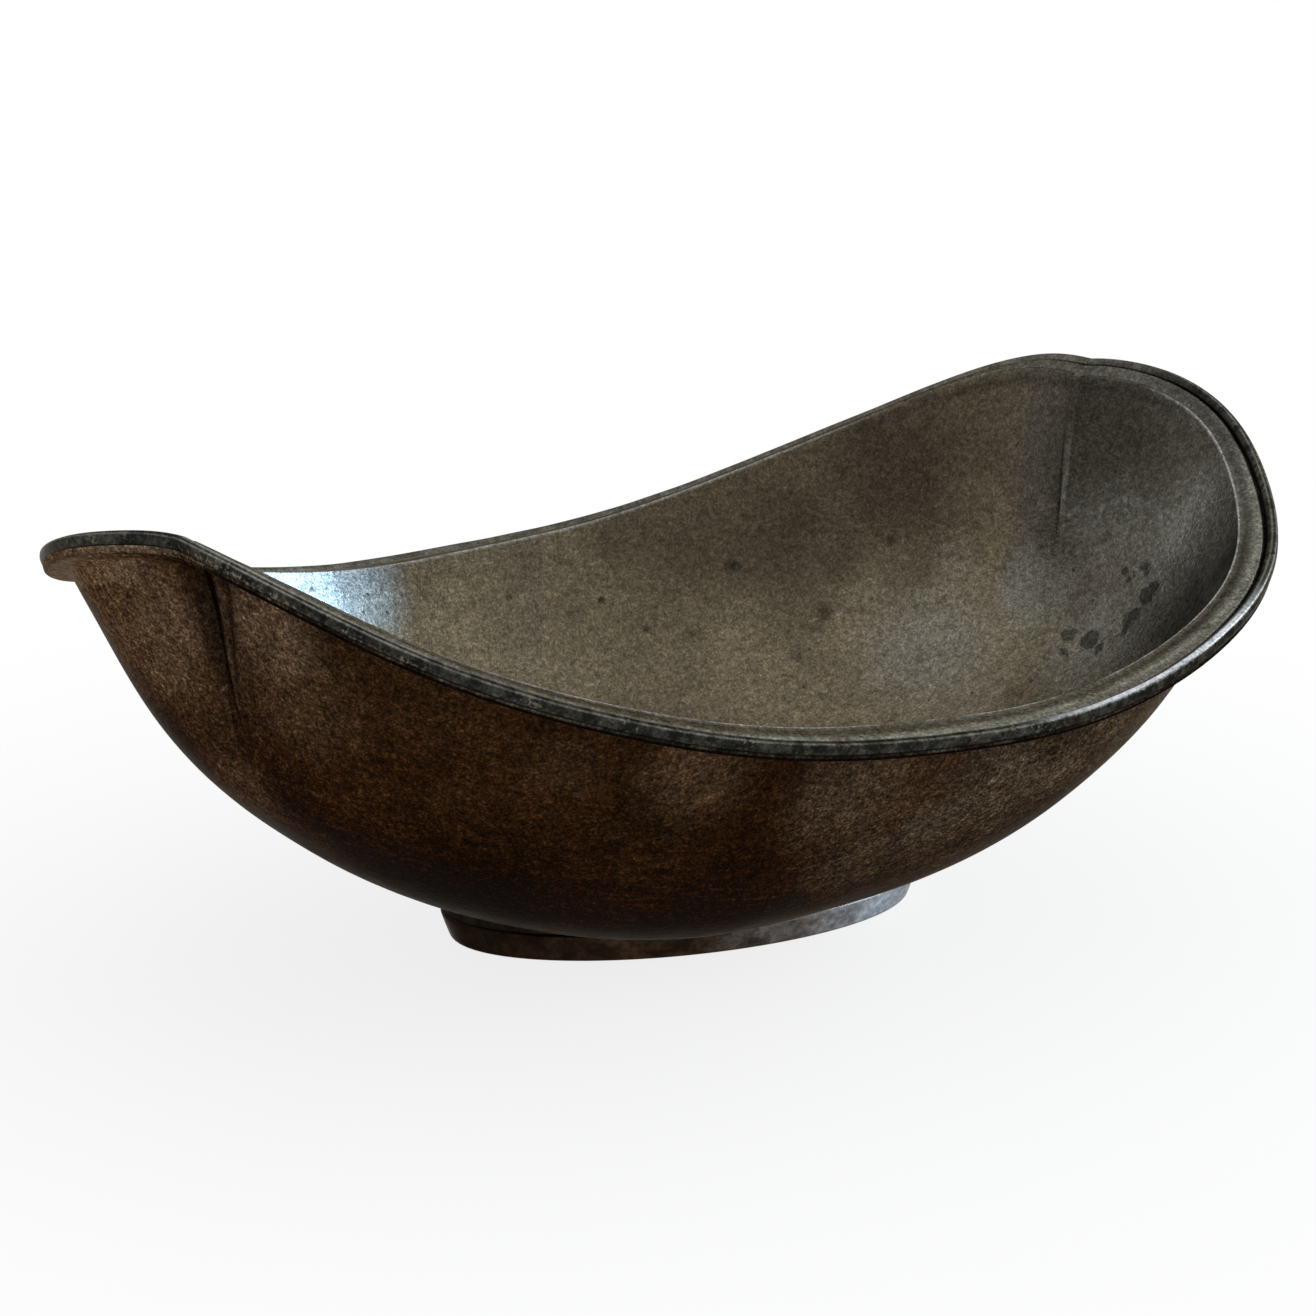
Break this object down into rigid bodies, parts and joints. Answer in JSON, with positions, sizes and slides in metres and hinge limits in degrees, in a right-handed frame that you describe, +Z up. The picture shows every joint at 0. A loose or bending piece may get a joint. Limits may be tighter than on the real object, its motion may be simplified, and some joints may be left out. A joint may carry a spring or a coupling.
{
  "type": "footed boat-shaped serving bowl",
  "caption": "Boat-shaped metal serving bowl with two raised, creased ends and a wired rim, standing on a low oval foot ring.",
  "frame": {"origin": "on the table, under the middle of the foot ring and of the bowl", "axes": "+Z up, +X along the bowl's long axis; the crease on the +X end is on the +Y side"},
  "size_m": [0.1991, 0.1277, 0.0792],
  "materials": {
    "bowl_body": "aged pewter, dull brown-grey patina",
    "rim_wire": "aged pewter, dark grey with worn edges",
    "foot_solder": "dull grey solder",
    "foot_ring": "aged pewter, smoother and a little brighter"
  },
  "bodies": {
    "root": {"bowl_body": "bowl_body", "rim_wire_front": "rim_wire", "rim_wire_back": "rim_wire", "foot_solder": "foot_solder", "foot_ring": "foot_ring"}
  },
  "joints": []
}
